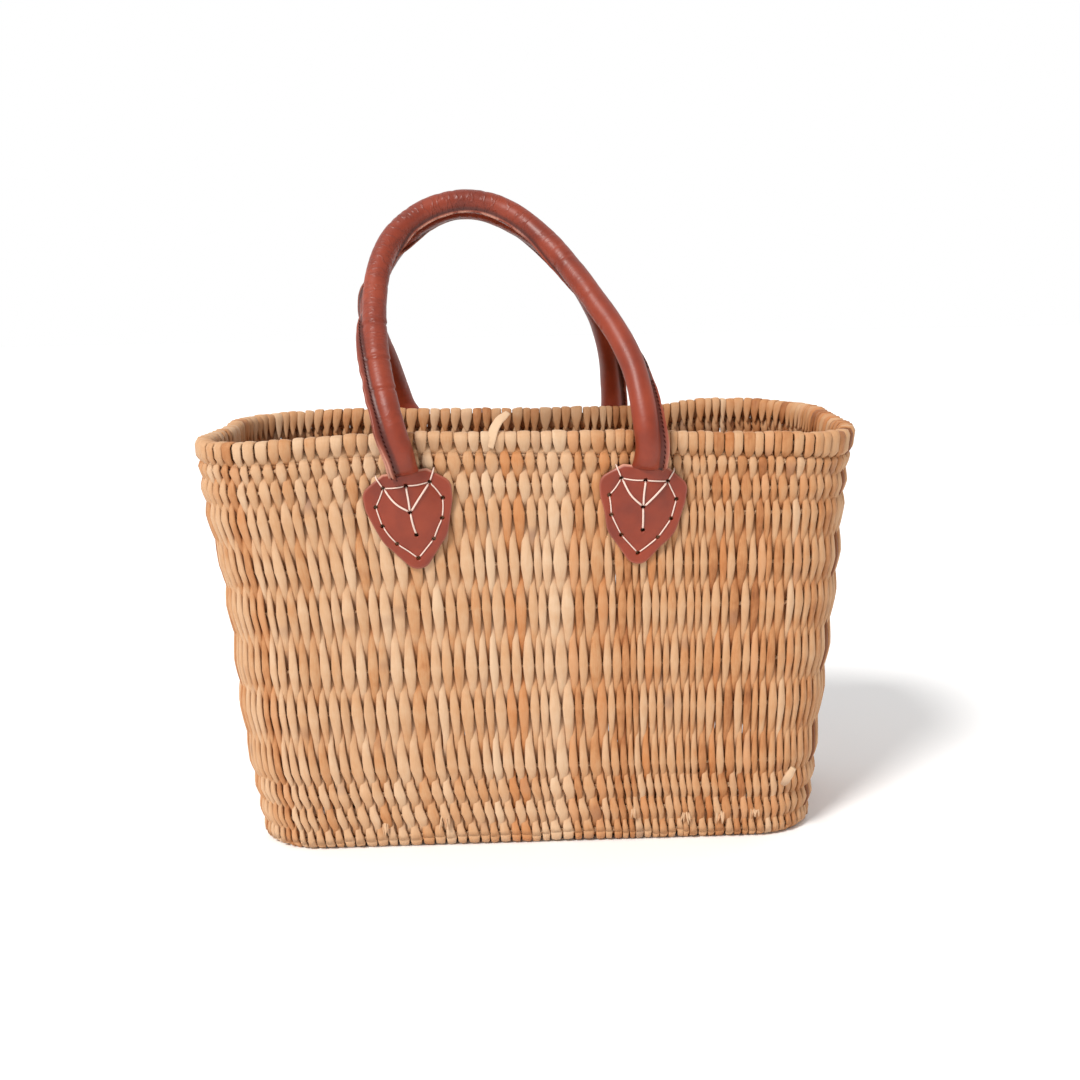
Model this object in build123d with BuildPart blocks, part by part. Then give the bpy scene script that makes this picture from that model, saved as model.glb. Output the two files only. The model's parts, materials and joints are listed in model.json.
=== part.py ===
from build123d import *

import math
import os

# Woven reed market basket with two rolled leather handles.
#
# Frame: millimetres, +Z up, origin on the floor under the middle of the base, +X along the length,
# -Y the front. Upright reeds stand side by side and pass in front of and behind a stack of twisted
# cords, one closed ring for each row. Every second reed folds over the rim cord and ends inside.
# Each handle is a rope core in a rolled leather cover, held by a shield-shaped leather patch at each foot.

# ---- driving dimensions ----
RIM_LENGTH = 380.0
RIM_DEPTH = 176.0
RIM_CORNER = 50.0
BASE_LENGTH = 324.0
BASE_DEPTH = 140.0
BASE_CORNER = 38.0
HEIGHT = 245.0

WALL = 6.4  # a cord with a flattened reed on each side of it
FLOOR = 6.4
BOTTOM_ROUND = 10.0  # outer radius where the wall turns under
FLOOR_MARGIN = 12.0  # from the base outline in to where the base mat starts
END_SPLIT = 128.0  # front and back reeds stand between -END_SPLIT and +END_SPLIT

CORD = 3.0  # diameter of a twisted cord
TUNNEL_GAP = 0.15  # radial room round a cord in the reeds
ROW_HEIGHTS = (7.0, 20.5, 34.0, 48.5, 83.5, 109.5, 143.5, 169.5, 200.0, 215.0, 228.5)
BASE_CORD_PITCH = 24.0
BASE_CORDS = 5

RIM_BAND = 14.0  # height of the folded reeds round the rim
RIM_PROUD = 0.8  # how far the folded reeds stand out from the wall on each side
RIM_TOP_ROUND = 3.8  # nearly half the folded reeds' thickness
CUT_END_BAND = 7.0  # the trimmed reed ends inside, under the rim
CUT_END_PROUD = 1.8

PATCH_TOP = 224.5  # height of the patches' straight top edge, along the wall's outer face
PATCH_THICK = 2.0
TONGUE_WIDTH = 20.0
TONGUE_LENGTH = 30.0
TONGUE_RISE = 3.0  # how far the tongue shows above its patch
TONGUE_THICK = 1.2
TONGUE_CORNER = 4.0
TONGUE_GAP = 0.1

STITCH_HOLE = 1.3  # diameters
THREAD = 1.0
THREAD_PROUD = 0.8

TUBE = 15.0  # diameter of the leather handle
LEATHER = 2.2
CORE_GAP = 0.1
FIN_REACH = 10.6  # from the tube's centre to the edge of the seam fin
FIN_THICK = 2.4
FIN_START = 6.0  # from the fold line up to where the fin begins
FIN_END = 0.8  # share of the leg's leaning run that has the fin
SEAM_THREAD = 0.8
SEAM_AT = 8.9  # from the tube's centre to the line of stitches
HINGE_OFF_WALL = 10.0  # from the wall's outer face out to the fold line of a handle
HINGE_OVER_PATCH = 4.0  # from a patch's top edge up to the fold line

PATCHES = {  # foot x and turn about the wall's outward direction, in degrees
    "front_left": (-67.0, 8.0),
    "front_right": (62.0, -6.0),
    "back_left": (-74.0, 4.0),
    "back_right": (60.0, -4.0),
}
ROUTES = {  # corners of each handle's centre line between its feet, with the bend radius at each
    "front": (
        (-76.0, -101.0, 257.0, 44.0),
        (-86.4, -49.6, 320.2, 30.0),
        (-76.4, -14.2, 364.6, 34.0),
        (-31.0, -8.2, 373.5, 20.0),
        (8.1, -12.7, 364.0, 72.0),
        (55.2, -72.7, 292.5, 140.0),
        (60.6, -99.5, 256.5, 34.0),
    ),
    "back": (
        (-80.3, 100.28, 252.0, 34.0),
        (-98.6, 58.9, 310.2, 26.0),
        (-76.8, 16.7, 357.6, 36.0),
        (-41.5, 8.2, 371.1, 40.0),
        (2.4, 11.8, 364.5, 68.0),
        (57.4, 68.7, 299.0, 160.0),
        (59.0, 99.3, 252.5, 22.0),
    ),
}


def share_of_height(z):
    return z / HEIGHT


def outline(z, inset):
    """Length, depth and corner radius of the wall's outline at height z, moved in by inset."""
    t = share_of_height(z)
    length = BASE_LENGTH + (RIM_LENGTH - BASE_LENGTH) * t
    depth = BASE_DEPTH + (RIM_DEPTH - BASE_DEPTH) * t
    corner = BASE_CORNER + (RIM_CORNER - BASE_CORNER) * t
    return length - 2 * inset, depth - 2 * inset, corner - inset


def side_sign(name):
    return -1.0 if name.startswith("front") else 1.0


def wall_plane(name, x, z):
    """A plane on the wall's outer face: local X along the length, local Y up the wall, local Z outward."""
    side = side_sign(name)
    slope = (RIM_DEPTH - BASE_DEPTH) / 2 / HEIGHT
    y = side * outline(z, 0)[1] / 2
    return Plane(origin=(x, y, z), x_dir=(-side, 0, 0), z_dir=(0, side, -slope))


def patch_plane(name):
    """The plane under a leather patch, turned in the wall's face as the patch is."""
    x, turn = PATCHES[name]
    return Plane(wall_plane(name, x, PATCH_TOP).location * Location((0, 0, 0), (0, 0, turn)))


def hinge_point(name, x):
    """The point of a handle's fold line over the foot at x."""
    plane = wall_plane(name, x, PATCH_TOP)
    return plane.from_local_coords(Vector(0, HINGE_OVER_PATCH, HINGE_OFF_WALL))


def write(part, label):
    part.label = label
    export_step(part, f"parts/{label}.step")


os.makedirs("parts", exist_ok=True)


# ---- cords: one closed ring for each row, in the middle of the wall ----
def ring_part(z, diameter, inset):
    """A closed ring of round section that follows the wall's outline at height z."""
    length, depth, corner = outline(z, inset)
    x, y = length / 2, depth / 2
    with BuildPart() as ring:
        with BuildLine(Plane.XY.offset(z)) as path:
            FilletPolyline((x, -y), (x, y), (-x, y), (-x, -y), radius=corner, close=True)
        start = path.line
        with BuildSketch(Plane(origin=start @ 0, z_dir=start % 0)):
            Circle(diameter / 2)
        sweep()
    return ring.part


def base_cord_y(i):
    return (i - (BASE_CORDS - 1) / 2) * BASE_CORD_PITCH


for number, z in enumerate(ROW_HEIGHTS, start=1):
    write(ring_part(z, CORD, WALL / 2), f"weft_cord_{number:02d}")

RIM_CORD_Z = HEIGHT - RIM_BAND / 2
WALL_TOP = HEIGHT - RIM_BAND
write(ring_part(RIM_CORD_Z, CORD, WALL / 2), "rim_cord")


# ---- reed walls: a tapered shell with a tunnel for each cord ----
with BuildPart() as shell:
    with BuildSketch(Plane.XY):
        RectangleRounded(*outline(0, 0))
    with BuildSketch(Plane.XY.offset(WALL_TOP)):
        RectangleRounded(*outline(WALL_TOP, 0))
    loft(ruled=True)
    fillet(shell.edges().group_by(Axis.Z)[0], BOTTOM_ROUND)
    with BuildSketch(Plane.XY.offset(FLOOR)):
        RectangleRounded(*outline(FLOOR, WALL))
    with BuildSketch(Plane.XY.offset(WALL_TOP)):
        RectangleRounded(*outline(WALL_TOP, WALL))
    loft(ruled=True, mode=Mode.SUBTRACT)
    with BuildSketch(Plane.XY):
        RectangleRounded(*outline(0, FLOOR_MARGIN))
    extrude(amount=FLOOR, mode=Mode.SUBTRACT)
    for z in ROW_HEIGHTS:
        add(ring_part(z, CORD + 2 * TUNNEL_GAP, WALL / 2), mode=Mode.SUBTRACT)
    for name in PATCHES:
        with BuildSketch(patch_plane(name)):
            with Locations((0, TONGUE_RISE - TONGUE_LENGTH / 2)):
                RectangleRounded(TONGUE_WIDTH + 2 * TONGUE_GAP, TONGUE_LENGTH + 2 * TONGUE_GAP, TONGUE_CORNER)
        extrude(amount=-TONGUE_THICK - TONGUE_GAP, mode=Mode.SUBTRACT)

MIDDLE = 2 * END_SPLIT
END = (RIM_LENGTH - MIDDLE) / 2 + WALL
HALF = RIM_DEPTH / 2 + WALL
WALL_BOXES = {  # centre x, centre y, length and depth of the box that cuts each wall out of the shell
    "front_wall_reeds": (0, -HALF / 2, MIDDLE, HALF),
    "back_wall_reeds": (0, HALF / 2, MIDDLE, HALF),
    "left_end_reeds": (-END_SPLIT - END / 2, 0, END, 2 * HALF),
    "right_end_reeds": (END_SPLIT + END / 2, 0, END, 2 * HALF),
}
for name, (x, y, length, depth) in WALL_BOXES.items():
    with BuildPart() as reeds:
        add(shell.part)
        with Locations((x, y, HEIGHT / 2)):
            Box(length, depth, 2 * HEIGHT, mode=Mode.INTERSECT)
    write(reeds.part, name)


# ---- base mat: reeds from front to back over lengthwise cords ----
with BuildPart() as base_reeds:
    with BuildSketch(Plane.XY):
        RectangleRounded(*outline(0, FLOOR_MARGIN))
    extrude(amount=FLOOR)
    for i in range(BASE_CORDS):
        with BuildSketch(Plane.YZ.offset(-BASE_LENGTH / 2)):
            with Locations((base_cord_y(i), FLOOR / 2)):
                Circle(CORD / 2 + TUNNEL_GAP)
        extrude(amount=BASE_LENGTH, mode=Mode.SUBTRACT)
write(base_reeds.part, "base_reeds")

BASE_CORD_LENGTH = BASE_LENGTH - 2 * FLOOR_MARGIN - 26
for i in range(BASE_CORDS):
    with BuildPart() as base_cord:
        with BuildSketch(Plane.YZ.offset(-BASE_CORD_LENGTH / 2)):
            with Locations((base_cord_y(i), FLOOR / 2)):
                Circle(CORD / 2)
        extrude(amount=BASE_CORD_LENGTH)
    write(base_cord.part, f"base_cord_{i + 1:02d}")


# ---- rim: the reeds folded over the rim cord, and their trimmed ends inside ----
with BuildPart() as rim:
    length, depth, corner = outline(HEIGHT, WALL / 2)
    with BuildLine(Plane.XY.offset(HEIGHT - RIM_BAND)) as rim_path:
        FilletPolyline(
            (length / 2, -depth / 2),
            (length / 2, depth / 2),
            (-length / 2, depth / 2),
            (-length / 2, -depth / 2),
            radius=corner,
            close=True,
        )
    start = rim_path.line
    section = Plane(origin=start @ 0, x_dir=(0, 0, 1), z_dir=start % 0)
    half_width = WALL / 2 + RIM_PROUD
    with BuildSketch(section) as rim_section:
        with Locations((RIM_BAND / 2, 0)):
            Rectangle(RIM_BAND, 2 * half_width)
        fillet(rim_section.vertices().sort_by(Axis.X)[-2:], RIM_TOP_ROUND)
    sweep()
    add(ring_part(RIM_CORD_Z, CORD + 2 * TUNNEL_GAP, WALL / 2), mode=Mode.SUBTRACT)
write(rim.part, "rim_folded_reeds")

CUT_LOW = WALL_TOP - CUT_END_BAND
with BuildPart() as cut_ends:
    for inset, mode in ((WALL, Mode.ADD), (WALL + CUT_END_PROUD, Mode.SUBTRACT)):
        with BuildSketch(Plane.XY.offset(CUT_LOW)):
            RectangleRounded(*outline(CUT_LOW, inset))
        with BuildSketch(Plane.XY.offset(WALL_TOP)):
            RectangleRounded(*outline(WALL_TOP, inset))
        loft(ruled=True, mode=mode)
write(cut_ends.part, "rim_cut_ends")


# ---- leather patches, with the flattened handle end and the white thread of each ----
PATCH_CORNERS = (  # right half of the outline below the top edge, with the radius at each corner
    (12.4, 0.0, 1.5),
    (24.8, -8.5, 7.0),
    (24.2, -19.0, 14.0),
    (18.0, -38.0, 20.0),
)
PATCH_TIP = (0.0, -60.5, 8.0)
EDGE_ROUND = 0.5
HOLES = {
    "top_left": (-12.8, -7.5),
    "top": (0.0, -6.8),
    "top_right": (12.8, -7.5),
    "right_1": (18.6, -17.5),
    "right_2": (16.6, -28.5),
    "right_3": (10.2, -39.5),
    "bottom": (0.0, -49.5),
    "left_3": (-10.2, -39.5),
    "left_2": (-16.6, -28.5),
    "left_1": (-18.6, -17.5),
    "middle": (0.0, -22.0),
    "tail": (1.2, -35.5),
}
EDGE_HOLES = list(HOLES)[:10]
STITCHES = list(zip(EDGE_HOLES, EDGE_HOLES[1:] + EDGE_HOLES[:1]))
STITCHES += [("top_left", "middle"), ("top", "middle"), ("top_right", "middle"), ("middle", "tail")]
SKIN_GAP = 0.05

left_corners = [(-x, y, radius) for x, y, radius in reversed(PATCH_CORNERS)]
outline_corners = [*PATCH_CORNERS, PATCH_TIP, *left_corners]

for name in PATCHES:
    plane = patch_plane(name)

    with BuildPart() as tongue:
        with BuildSketch(plane):
            with Locations((0, TONGUE_RISE - TONGUE_LENGTH / 2)):
                RectangleRounded(TONGUE_WIDTH, TONGUE_LENGTH, TONGUE_CORNER)
        extrude(amount=-TONGUE_THICK)
    write(tongue.part, f"handle_tongue_{name}")

    with BuildPart() as patch:
        with BuildSketch(plane.offset(SKIN_GAP)):
            with BuildLine():
                FilletPolyline(
                    *[(corner[0], corner[1]) for corner in outline_corners],
                    radius=[corner[2] for corner in outline_corners],
                    close=True,
                )
            make_face()
        extrude(amount=PATCH_THICK)
        outer = patch.faces().filter_by(plane).sort_by(lambda face: -face.center().Y * side_sign(name))[0]
        fillet(outer.outer_wire().edges(), EDGE_ROUND)
        with BuildSketch(plane):
            with Locations(*HOLES.values()):
                Circle(STITCH_HOLE / 2)
        extrude(amount=PATCH_THICK + 1, mode=Mode.SUBTRACT)
    write(patch.part, f"patch_{name}")

    with BuildPart() as thread:
        with BuildSketch(plane.offset(PATCH_THICK + 2 * SKIN_GAP)):
            for first, second in STITCHES:
                run = Vector(*HOLES[second]) - Vector(*HOLES[first])
                middle = Vector(*HOLES[first]) + run * 0.5
                angle = math.degrees(math.atan2(run.Y, run.X))
                with Locations(Location((middle.X, middle.Y, 0), (0, 0, angle))):
                    SlotCenterToCenter(run.length, THREAD)
        extrude(amount=THREAD_PROUD)
        with BuildSketch(plane.offset(2 * SKIN_GAP)):
            with Locations(*HOLES.values()):
                Circle(THREAD / 2)
        extrude(amount=PATCH_THICK + SKIN_GAP)
    write(thread.part, f"patch_thread_{name}")


# ---- handles: a rope core in a rolled cover whose seam stands out as a fin on both legs ----
def swept(points, radii, radius):
    """A round rod of the given radius along straight runs joined by arcs."""
    with BuildPart() as rod:
        with BuildLine() as path:
            FilletPolyline(*points, radius=radii)
        with BuildSketch(Plane(origin=path.line @ 0, z_dir=path.line % 0)):
            Circle(radius)
        sweep()
    return rod.part


def leg_points(foot, first, second):
    """Three points along a leg, from just over the fold line to where the fin ends."""
    start = foot + (first - foot).normalized() * FIN_START
    return [start, first, first + (second - first) * FIN_END]


def leg_section_plane(points, outward):
    """A plane across the start of a leg, with local X pointing along the fin."""
    along = (points[1] - points[0]).normalized()
    across = outward - along * outward.dot(along)
    return Plane(origin=points[0], x_dir=across.normalized(), z_dir=along)


for handle, route in ROUTES.items():
    feet = [hinge_point(f"{handle}_{end}", PATCHES[f"{handle}_{end}"][0]) for end in ("left", "right")]
    corners = [Vector(x, y, z) for x, y, z, _ in route]
    radii = [radius for _, _, _, radius in route]
    inward = -side_sign(handle)

    legs = {}
    for end, foot, near, side in (("left", feet[0], corners[:2], -1), ("right", feet[1], corners[:-3:-1], 1)):
        points = leg_points(foot, *near)
        plane = leg_section_plane(points, Vector(0.8 * side, 0.6 * inward, 0))
        bend = radii[0] if end == "left" else radii[-1]
        face_side = side * inward
        legs[end] = (points, plane, bend, -face_side)

    with BuildPart() as cover:
        add(swept([feet[0], *corners, feet[1]], radii, TUBE / 2))
        with Locations(*feet):
            Sphere(TUBE / 2)
        for points, plane, bend, _ in legs.values():
            with BuildPart(mode=Mode.PRIVATE) as fin:
                with BuildLine() as leg_path:
                    FilletPolyline(*points, radius=bend)
                with BuildSketch(plane):
                    with Locations((FIN_REACH / 2, 0)):
                        Rectangle(FIN_REACH, FIN_THICK)
                sweep()
            add(fin.part)
        add(swept([feet[0], *corners, feet[1]], radii, TUBE / 2 - LEATHER), mode=Mode.SUBTRACT)
    write(cover.part, f"{handle}_handle_cover")

    inner = [foot + (near - foot).normalized() * CORE_GAP for foot, near in zip(feet, (corners[0], corners[-1]))]
    core = swept([inner[0], *corners, inner[1]], radii, TUBE / 2 - LEATHER - CORE_GAP)
    write(core, f"{handle}_handle_core")

    for end, (points, plane, bend, face) in legs.items():
        with BuildPart() as seam:
            with BuildLine() as seam_path:
                FilletPolyline(*points, radius=bend)
            with BuildSketch(plane):
                with Locations((SEAM_AT, face * (FIN_THICK / 2 + SEAM_THREAD / 2 + SKIN_GAP))):
                    Circle(SEAM_THREAD / 2)
            sweep()
        write(seam.part, f"{handle}_handle_seam_{end}")
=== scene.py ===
import json
import math
import random

import bpy
import numpy as np
from mathutils import Matrix, Vector


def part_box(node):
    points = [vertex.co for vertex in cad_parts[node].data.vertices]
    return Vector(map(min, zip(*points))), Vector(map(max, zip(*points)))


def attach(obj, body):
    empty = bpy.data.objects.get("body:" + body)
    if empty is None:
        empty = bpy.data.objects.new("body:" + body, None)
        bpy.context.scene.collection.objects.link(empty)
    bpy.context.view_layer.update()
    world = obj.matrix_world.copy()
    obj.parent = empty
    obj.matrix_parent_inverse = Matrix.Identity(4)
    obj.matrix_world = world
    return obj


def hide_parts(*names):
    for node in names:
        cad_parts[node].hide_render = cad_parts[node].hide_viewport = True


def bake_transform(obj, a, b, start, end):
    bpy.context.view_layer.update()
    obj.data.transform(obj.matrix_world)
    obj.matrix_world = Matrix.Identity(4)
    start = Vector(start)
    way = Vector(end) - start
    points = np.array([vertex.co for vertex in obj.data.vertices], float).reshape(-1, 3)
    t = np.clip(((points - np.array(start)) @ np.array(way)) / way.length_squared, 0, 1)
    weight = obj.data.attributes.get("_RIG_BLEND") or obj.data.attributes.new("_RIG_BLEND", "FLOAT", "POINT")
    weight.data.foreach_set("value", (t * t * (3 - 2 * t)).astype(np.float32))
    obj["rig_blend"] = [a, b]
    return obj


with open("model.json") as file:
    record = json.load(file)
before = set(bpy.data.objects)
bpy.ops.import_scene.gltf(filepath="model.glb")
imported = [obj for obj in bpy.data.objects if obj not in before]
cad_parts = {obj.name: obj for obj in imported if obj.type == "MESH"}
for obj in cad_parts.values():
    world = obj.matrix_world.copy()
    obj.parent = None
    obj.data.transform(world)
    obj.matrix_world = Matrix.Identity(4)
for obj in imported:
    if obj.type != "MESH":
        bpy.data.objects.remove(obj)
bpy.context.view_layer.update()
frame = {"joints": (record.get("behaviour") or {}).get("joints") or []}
MM = 0.001
rng = np.random.default_rng(11)
random.seed(5)


def linear(r, g, b):
    """sRGB 0-255 to linear RGBA."""
    out = []
    for c in (r, g, b):
        c /= 255
        out.append(c / 12.92 if c <= 0.04045 else ((c + 0.055) / 1.055) ** 2.4)
    return (*out, 1.0)


def box_mm(node):
    lo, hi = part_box(node)
    return np.array(lo) / MM, np.array(hi) / MM


# ------------ mesh helpers
def make_object(name, verts, faces, materials, face_slot=None, attributes=None, smooth=True):
    """A mesh object from points in millimetres."""
    mesh = bpy.data.meshes.new(name)
    mesh.from_pydata((np.asarray(verts) * MM).tolist(), [], faces)
    for m in materials:
        mesh.materials.append(m)
    mesh.polygons.foreach_set("use_smooth", [smooth] * len(mesh.polygons))
    if face_slot is not None:
        mesh.polygons.foreach_set("material_index", face_slot)
    for key, values in (attributes or {}).items():
        layer = mesh.attributes.new(key, "FLOAT", "POINT")
        layer.data.foreach_set("value", np.asarray(values, dtype=np.float32))
    mesh.update()
    obj = bpy.data.objects.new(name, mesh)
    bpy.context.scene.collection.objects.link(obj)
    return obj


class Lofts:
    """Collects rings of points that become closed tubes in one mesh."""

    def __init__(self):
        self.verts, self.faces, self.slots, self.attrs, self.count = [], [], [], {}, 0

    def add(self, rings, attrs, cap_slots=(0, 0), closed=False):
        """rings is (stations, points, 3); attrs maps a name to (stations, points) values."""
        rings = np.asarray(rings)
        k, m = rings.shape[:2]
        base = self.count
        self.verts.append(rings.reshape(-1, 3))
        for key, values in attrs.items():
            self.attrs.setdefault(key, []).append(np.broadcast_to(values, (k, m)).reshape(-1))
        spans = k if closed else k - 1
        for i in range(spans):
            a, b = base + i * m, base + (i + 1) % k * m
            for j in range(m):
                n = (j + 1) % m
                self.faces.append((a + j, a + n, b + n, b + j))
        self.slots.extend([0] * (spans * m))
        if not closed:
            self.faces.append(tuple(base + j for j in reversed(range(m))))
            self.faces.append(tuple(base + (k - 1) * m + j for j in range(m)))
            self.slots.extend(cap_slots)
        self.count += k * m

    def build(self, name, materials):
        attrs = {key: np.concatenate(parts) for key, parts in self.attrs.items()}
        return make_object(name, np.concatenate(self.verts), self.faces, materials, self.slots, attrs)


def unit(v):
    v = np.asarray(v, float)
    return v / np.maximum(np.linalg.norm(v, axis=-1, keepdims=True), 1e-12)


def tangents(points, closed=False):
    points = np.asarray(points, float)
    if closed:
        return unit(np.roll(points, -1, 0) - np.roll(points, 1, 0))
    return unit(np.gradient(points, axis=0))


def round_tube(points, radius, sides=8, closed=False):
    """Rings round a path, with a frame carried along it. radius may vary."""
    points = np.asarray(points, float)
    t = tangents(points, closed)
    radius = np.broadcast_to(radius, (len(points),))
    ref = np.array([0.0, 0.0, 1.0]) if abs(t[0][2]) < 0.9 else np.array([1.0, 0.0, 0.0])
    side = unit(np.cross(t[0], ref))
    rings = []
    for p, d, r in zip(points, t, radius):
        side = unit(side - d * (side @ d))
        up = np.cross(d, side)
        a = np.arange(sides) * 2 * math.pi / sides
        rings.append(p + r * (np.cos(a)[:, None] * side + np.sin(a)[:, None] * up))
    return np.array(rings)


def filleted(points, radii, closed, steps=8):
    """Straight runs joined by arcs, as points. Works in two or three dimensions."""
    points = [np.asarray(p, float) for p in points]
    n = len(points)
    out = []
    for i in range(n):
        if not closed and i in (0, n - 1):
            out.append(points[i])
            continue
        p, before, after = points[i], points[i - 1], points[(i + 1) % n]
        a, b = unit(before - p), unit(after - p)
        inner = math.acos(float(np.clip(a @ b, -1, 1)))
        r = radii[i] if closed else radii[i - 1]
        reach = r / math.tan(inner / 2)
        centre = p + unit(a + b) * r / math.sin(inner / 2)
        u, v = p + a * reach - centre, p + b * reach - centre
        angle = math.acos(float(np.clip(u @ v / r**2, -1, 1)))
        for k in range(steps + 1):
            s = k / steps
            swing = math.sin((1 - s) * angle) * u + math.sin(s * angle) * v
            out.append(centre + swing / max(math.sin(angle), 1e-9))
    return np.array(out)


def resample(points, step, closed=False):
    points = np.asarray(points, float)
    if closed:
        points = np.vstack([points, points[:1]])
    length = np.concatenate([[0], np.cumsum(np.linalg.norm(np.diff(points, axis=0), axis=1))])
    count = max(2, int(round(length[-1] / step)))
    at = np.linspace(0, length[-1], count + 1)
    out = np.stack([np.interp(at, length, points[:, k]) for k in range(points.shape[1])], 1)
    return out[:-1] if closed else out


def smoothed(values, rounds):
    values = np.array(values, float)
    for _ in range(rounds):
        values[1:-1] = values[1:-1] * 0.5 + (values[:-2] + values[2:]) * 0.25
    return values


# ------------ materials
class Shader:
    """A material with a Principled surface. Each method adds a node and returns its output."""

    def __init__(self, name):
        self.mat = bpy.data.materials.new(name)
        self.mat.use_nodes = True
        self.nodes, self.links = self.mat.node_tree.nodes, self.mat.node_tree.links
        self.nodes.clear()
        out = self.nodes.new("ShaderNodeOutputMaterial")
        self.bsdf = self.nodes.new("ShaderNodeBsdfPrincipled")
        self.links.new(self.bsdf.outputs[0], out.inputs[0])

    def feed(self, socket, value):
        """Set a socket to a number or a colour, or link another node's output to it."""
        if isinstance(value, (int, float, tuple)):
            socket.default_value = value
        else:
            self.links.new(value, socket)

    def attributes(self, *names):
        out = []
        for name in names:
            node = self.nodes.new("ShaderNodeAttribute")
            node.attribute_name = name
            out.append(node.outputs["Fac"])
        return out

    def maths(self, op, a, b=None, clamp=False):
        node = self.nodes.new("ShaderNodeMath")
        node.operation = op
        node.use_clamp = clamp
        self.feed(node.inputs[0], a)
        if b is not None:
            self.feed(node.inputs[1], b)
        return node.outputs[0]

    def add(self, a, b):
        return self.maths("ADD", a, b)

    def less(self, a, b, clamp=False):
        return self.maths("SUBTRACT", a, b, clamp)

    def times(self, a, b, clamp=False):
        return self.maths("MULTIPLY", a, b, clamp)

    def noise(self, vector, scale=1.0, detail=3.0, rough=0.5):
        node = self.nodes.new("ShaderNodeTexNoise")
        node.inputs["Scale"].default_value = scale
        node.inputs["Detail"].default_value = detail
        node.inputs["Roughness"].default_value = rough
        self.links.new(vector, node.inputs["Vector"])
        return node.outputs["Fac"]

    def combine(self, x, y, z):
        node = self.nodes.new("ShaderNodeCombineXYZ")
        for socket, value in zip(node.inputs, (x, y, z)):
            self.feed(socket, value)
        return node.outputs[0]

    def ramp(self, value, stops):
        """stops are (position, sRGB colour)."""
        node = self.nodes.new("ShaderNodeValToRGB")
        elements = node.color_ramp.elements
        while len(elements) < len(stops):
            elements.new(0.5)
        for element, (position, rgb) in zip(elements, stops):
            element.position = position
            element.color = linear(*rgb)
        self.links.new(value, node.inputs[0])
        return node.outputs["Color"]

    def tint(self, colour, factor, rgb):
        """colour moved by factor towards an sRGB colour."""
        node = self.nodes.new("ShaderNodeMix")
        node.data_type = "RGBA"
        for index, value in ((0, factor), (6, colour), (7, linear(*rgb))):
            self.feed(node.inputs[index], value)
        return node.outputs[2]

    def bump(self, height, strength, distance):
        node = self.nodes.new("ShaderNodeBump")
        node.inputs["Strength"].default_value = strength
        node.inputs["Distance"].default_value = distance
        self.links.new(height, node.inputs["Height"])
        self.links.new(node.outputs[0], self.bsdf.inputs["Normal"])

    def finish(self, colour, roughness, specular=None):
        self.feed(self.bsdf.inputs["Base Color"], colour)
        self.feed(self.bsdf.inputs["Roughness"], roughness)
        if specular is not None:
            self.bsdf.inputs["Specular IOR Level"].default_value = specular
        return self.mat


def reed_material():
    s = Shader("dried_reed")
    tone, reed, along, across, crevice_shade = s.attributes("tone", "reed", "along", "across", "crevice_shade")
    seed = s.times(reed, 97.0)

    def streaks(across_scale, along_scale, detail, rough):
        where = s.combine(s.times(across, across_scale), s.times(along, along_scale), seed)
        return s.noise(where, 1.0, detail, rough)

    # slow changes along one reed, then cloudy patches, then fine fibres
    slow = s.noise(s.combine(seed, s.times(along, 0.05), 0.0), 1.0, 2)
    patchy = streaks(0.8, 0.16, 3, 0.6)
    fibre = streaks(7.0, 0.12, 4, 0.65)
    shade = tone
    for change, strength in ((slow, 0.6), (patchy, 0.4), (fibre, 0.35)):
        shade = s.add(shade, s.times(s.less(change, 0.5), strength))
    # painted shade: the tone drops where a reed dives behind its neighbours
    shade = s.less(shade, s.times(crevice_shade, 0.22), clamp=True)
    colour = s.ramp(
        shade,
        (
            (0.0, (124, 72, 38)),
            (0.16, (160, 101, 58)),
            (0.36, (184, 129, 84)),
            (0.56, (192, 147, 107)),
            (0.78, (199, 160, 124)),
            (1.0, (206, 173, 140)),
        ),
    )
    # painted shade: darker and redder where a reed dives behind its neighbours, faintly along every reed's
    # edges
    colour = s.tint(colour, s.times(s.maths("POWER", crevice_shade, 2.0), 0.55), (142, 68, 28))
    # a few stretches of reed are greyer, and a few whole reeds more orange
    odd = s.noise(s.combine(seed, s.times(along, 0.035), 7.0), 1.0, 1)
    odd = s.times(s.less(odd, 0.66), 7.0, clamp=True)
    colour = s.tint(colour, s.times(odd, 0.6), (122, 92, 82))
    orange = s.maths("LESS_THAN", s.maths("FRACT", s.times(reed, 23.1)), 0.10)
    colour = s.tint(colour, s.times(orange, 0.28), (190, 112, 52))
    s.bump(fibre, 0.35, 0.0006)
    return s.finish(colour, 0.62, 0.3)


def pith_material():
    s = Shader("cut_pith")
    across, reed = s.attributes("across", "reed")
    fine = s.noise(s.combine(s.times(across, 9.0), reed, 0.0), 3.0)
    return s.finish(s.ramp(fine, ((0.3, (198, 160, 118)), (0.7, (224, 196, 160)))), 0.85)


def cord_material():
    s = Shader("twisted_cord")
    along, across = s.attributes("along", "across")
    streak = s.noise(s.combine(s.times(along, 0.5), across, 0.0), 1.6, 3)
    return s.finish(s.ramp(streak, ((0.3, (168, 126, 88)), (0.7, (214, 176, 138)))), 0.8)


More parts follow.
